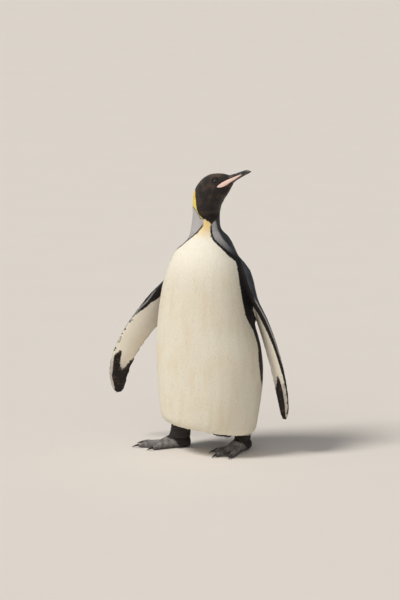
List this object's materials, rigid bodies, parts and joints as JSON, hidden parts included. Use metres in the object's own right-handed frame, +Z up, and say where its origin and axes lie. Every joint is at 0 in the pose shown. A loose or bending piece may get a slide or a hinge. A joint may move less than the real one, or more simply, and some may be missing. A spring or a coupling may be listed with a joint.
{
  "type": "king penguin model",
  "caption": "Life-size still model of a standing adult king penguin with its head turned to its left and its flippers held out from its sides.",
  "frame": {"origin": "middle of the bounding box's underside, on the floor between the feet", "axes": "+Z up, -Y the way the breast faces, +X the bird's left side"},
  "size_m": [0.586, 0.2708, 0.8561],
  "materials": {
    "plumage_body": "short overlapping feathers, matt with a faint sheen",
    "plumage_neck": "short silver-grey feathers with a yellow-orange throat",
    "plumage_hood": "very short velvety dark brown feathers",
    "plumage_slate": "scale-like slate feathers, white beneath the flippers",
    "plumage_leg": "short dark feathers",
    "foot_skin": "dry scaled skin, dark grey",
    "claw": "dark horn with a soft shine",
    "bill": "dark horn with a soft shine",
    "bill_plate": "smooth pale pink horn",
    "eye": "wet dark brown ball"
  },
  "bodies": {
    "root": {"trunk": "plumage_body", "neck": "plumage_neck", "head": "plumage_hood", "tail": "plumage_slate", "flipper_left": "plumage_slate", "flipper_right": "plumage_slate", "leg_left": "plumage_leg", "leg_right": "plumage_leg", "foot_left": "foot_skin", "foot_right": "foot_skin", "claw_left_inner": "claw", "claw_left_middle": "claw", "claw_left_outer": "claw", "claw_left_side": "claw", "claw_right_inner": "claw", "claw_right_middle": "claw", "claw_right_outer": "claw", "claw_right_side": "claw", "bill_upper": "bill", "bill_lower": "bill", "bill_plate_left": "bill_plate", "bill_plate_right": "bill_plate", "eye_left": "eye", "eye_right": "eye"}
  },
  "joints": []
}
